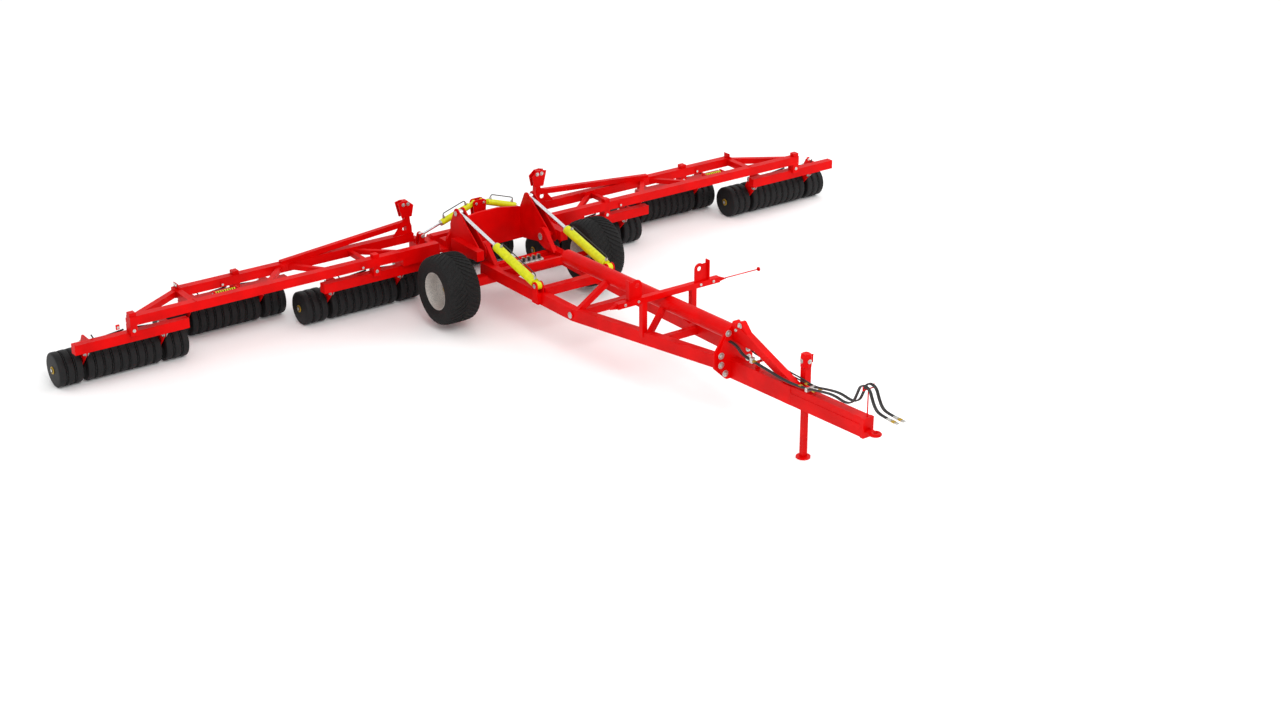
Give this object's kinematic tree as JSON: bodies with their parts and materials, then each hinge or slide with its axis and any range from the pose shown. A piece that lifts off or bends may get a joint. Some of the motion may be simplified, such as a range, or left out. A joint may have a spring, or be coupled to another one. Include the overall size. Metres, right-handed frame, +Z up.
{
  "type": "ring roller",
  "caption": "Towed ring roller for fields: ring gangs under a tilting centre frame and two folding wings, on a long drawbar with wheels, a jack and a towing eye.",
  "frame": {"origin": "centre of the machine's bounding box on the ground, in working position", "axes": "+Z up, towing eye towards -Y, working width along X, the driver's left towards +X"},
  "size_m": [15.45, 11.916, 1.975],
  "materials": {
    "frame_paint": "semi-gloss",
    "hose_rubber": "matt",
    "plated_steel": "satin",
    "rim_paint": "satin",
    "tyre_rubber": "matt",
    "ring_iron": "satin",
    "cylinder_paint": "semi-gloss",
    "rod_chrome": "polished"
  },
  "bodies": {
    "chassis": {"chassis_frame": "frame_paint", "drawbar_nose": "frame_paint", "towing_eye": "frame_paint", "transport_rest": "frame_paint", "marker_rod": "frame_paint", "valve_block": "plated_steel", "hose_stay": "frame_paint", "jack_sleeve": "frame_paint", "hose_couplers": "plated_steel", "hose_outer_right": "hose_rubber", "hose_inner_right": "hose_rubber", "hose_inner_left": "hose_rubber", "hose_outer_left": "hose_rubber"},
    "jack_leg": {"jack_leg": "frame_paint"},
    "wheel_left": {"tyre_left": "tyre_rubber", "rim_left": "rim_paint"},
    "wheel_right": {"tyre_right": "tyre_rubber", "rim_right": "rim_paint"},
    "tilt_frame": {"tilt_beams": "frame_paint", "tilt_arms": "frame_paint", "cylinder_tower": "frame_paint", "gang_frame_centre": "frame_paint"},
    "wing_left": {"wing_frame_left": "frame_paint", "gang_frames_left": "frame_paint"},
    "wing_right": {"wing_frame_right": "frame_paint", "gang_frames_right": "frame_paint"},
    "ring_gang_centre": {"ring_gang_centre": "ring_iron"},
    "ring_gang_inner_left": {"ring_gang_inner_left": "ring_iron"},
    "ring_gang_middle_left": {"ring_gang_middle_left": "ring_iron"},
    "ring_gang_outer_left": {"ring_gang_outer_left": "ring_iron"},
    "ring_gang_inner_right": {"ring_gang_inner_right": "ring_iron"},
    "ring_gang_middle_right": {"ring_gang_middle_right": "ring_iron"},
    "ring_gang_outer_right": {"ring_gang_outer_right": "ring_iron"},
    "tilt_barrel_left": {"tilt_barrel_left": "cylinder_paint"},
    "tilt_rod_left": {"tilt_rod_left": "rod_chrome"},
    "wing_barrel_left": {"wing_barrel_left": "cylinder_paint"},
    "wing_rod_left": {"wing_rod_left": "rod_chrome"},
    "tilt_barrel_right": {"tilt_barrel_right": "cylinder_paint"},
    "tilt_rod_right": {"tilt_rod_right": "rod_chrome"},
    "wing_barrel_right": {"wing_barrel_right": "cylinder_paint"},
    "wing_rod_right": {"wing_rod_right": "rod_chrome"}
  },
  "joints": [
    {"name": "wheel_left_spin", "type": "hinge", "parent": "chassis", "child": "wheel_left", "pos_m": [1.441, 3.2365, 0.687], "axis": [1, 0, 0], "continuous": true},
    {"name": "wheel_right_spin", "type": "hinge", "parent": "chassis", "child": "wheel_right", "pos_m": [-1.441, 3.2365, 0.687], "axis": [1, 0, 0], "continuous": true},
    {"name": "jack_slide", "type": "slide", "parent": "chassis", "child": "jack_leg", "axis": [0, 0, 1], "range_m": [0, 0.7]},
    {"name": "tilt", "type": "hinge", "parent": "chassis", "child": "tilt_frame", "pos_m": [0, 3.4665, 1.09], "axis": [1, 0, 0], "range_deg": [0, 90]},
    {"name": "wing_left_fold", "type": "hinge", "parent": "tilt_frame", "child": "wing_left", "pos_m": [1.04, 4.4865, 0.92], "axis": [0, -1, 0], "range_deg": [-3, 90]},
    {"name": "wing_right_fold", "type": "hinge", "parent": "tilt_frame", "child": "wing_right", "pos_m": [-1.04, 4.4865, 0.92], "axis": [0, 1, 0], "range_deg": [-3, 90]},
    {"name": "centre_gang_spin", "type": "hinge", "parent": "tilt_frame", "child": "ring_gang_centre", "pos_m": [0, 5.4665, 0.281], "axis": [1, 0, 0], "continuous": true},
    {"name": "inner_gang_left_spin", "type": "hinge", "parent": "wing_left", "child": "ring_gang_inner_left", "pos_m": [2.315, 4.7765, 0.281], "axis": [1, 0, 0], "continuous": true},
    {"name": "middle_gang_left_spin", "type": "hinge", "parent": "wing_left", "child": "ring_gang_middle_left", "pos_m": [4.512, 5.4665, 0.281], "axis": [1, 0, 0], "continuous": true},
    {"name": "outer_gang_left_spin", "type": "hinge", "parent": "wing_left", "child": "ring_gang_outer_left", "pos_m": [6.603, 4.7765, 0.281], "axis": [1, 0, 0], "continuous": true},
    {"name": "inner_gang_right_spin", "type": "hinge", "parent": "wing_right", "child": "ring_gang_inner_right", "pos_m": [-2.315, 4.7765, 0.281], "axis": [1, 0, 0], "continuous": true},
    {"name": "middle_gang_right_spin", "type": "hinge", "parent": "wing_right", "child": "ring_gang_middle_right", "pos_m": [-4.512, 5.4665, 0.281], "axis": [1, 0, 0], "continuous": true},
    {"name": "outer_gang_right_spin", "type": "hinge", "parent": "wing_right", "child": "ring_gang_outer_right", "pos_m": [-6.603, 4.7765, 0.281], "axis": [1, 0, 0], "continuous": true},
    {"name": "tilt_barrel_left_swing", "type": "hinge", "parent": "chassis", "child": "tilt_barrel_left", "pos_m": [0.697, 1.6965, 1.054], "axis": [1, 0, 0], "range_deg": [-0.5, 13.2]},
    {"name": "tilt_rod_left_slide", "type": "slide", "parent": "tilt_barrel_left", "child": "tilt_rod_left", "axis": [0, 0.9735, 0.2285], "range_m": [-1.02, 0.01]},
    {"name": "tilt_barrel_right_swing", "type": "hinge", "parent": "chassis", "child": "tilt_barrel_right", "pos_m": [-0.697, 1.6965, 1.054], "axis": [1, 0, 0], "range_deg": [-0.5, 13.2]},
    {"name": "tilt_rod_right_slide", "type": "slide", "parent": "tilt_barrel_right", "child": "tilt_rod_right", "axis": [0, 0.9735, 0.2285], "range_m": [-1.02, 0.01]},
    {"name": "wing_barrel_left_swing", "type": "hinge", "parent": "tilt_frame", "child": "wing_barrel_left", "pos_m": [0.075, 4.5965, 1.49], "axis": [0, 1, 0], "range_deg": [-1, 14.2]},
    {"name": "wing_rod_left_slide", "type": "slide", "parent": "wing_barrel_left", "child": "wing_rod_left", "axis": [0.9509, 0, -0.3096], "range_m": [-0.26, 0.012]},
    {"name": "wing_barrel_right_swing", "type": "hinge", "parent": "tilt_frame", "child": "wing_barrel_right", "pos_m": [-0.075, 4.5965, 1.49], "axis": [0, -1, 0], "range_deg": [-1, 14.2]},
    {"name": "wing_rod_right_slide", "type": "slide", "parent": "wing_barrel_right", "child": "wing_rod_right", "axis": [-0.9509, 0, -0.3096], "range_m": [-0.26, 0.012]}
  ],
  "couplings": [
    {"joint": "tilt_barrel_left_swing", "follows": "tilt", "ratio": 0.14063},
    {"joint": "tilt_rod_left_slide", "follows": "tilt", "m_per_rad": -0.64352},
    {"joint": "tilt_barrel_right_swing", "follows": "tilt", "ratio": 0.14063},
    {"joint": "tilt_rod_right_slide", "follows": "tilt", "m_per_rad": -0.64352},
    {"joint": "wing_barrel_left_swing", "follows": "wing_left_fold", "ratio": 0.15177},
    {"joint": "wing_rod_left_slide", "follows": "wing_left_fold", "m_per_rad": -0.16232},
    {"joint": "wing_barrel_right_swing", "follows": "wing_right_fold", "ratio": 0.15177},
    {"joint": "wing_rod_right_slide", "follows": "wing_right_fold", "m_per_rad": -0.16232}
  ]
}
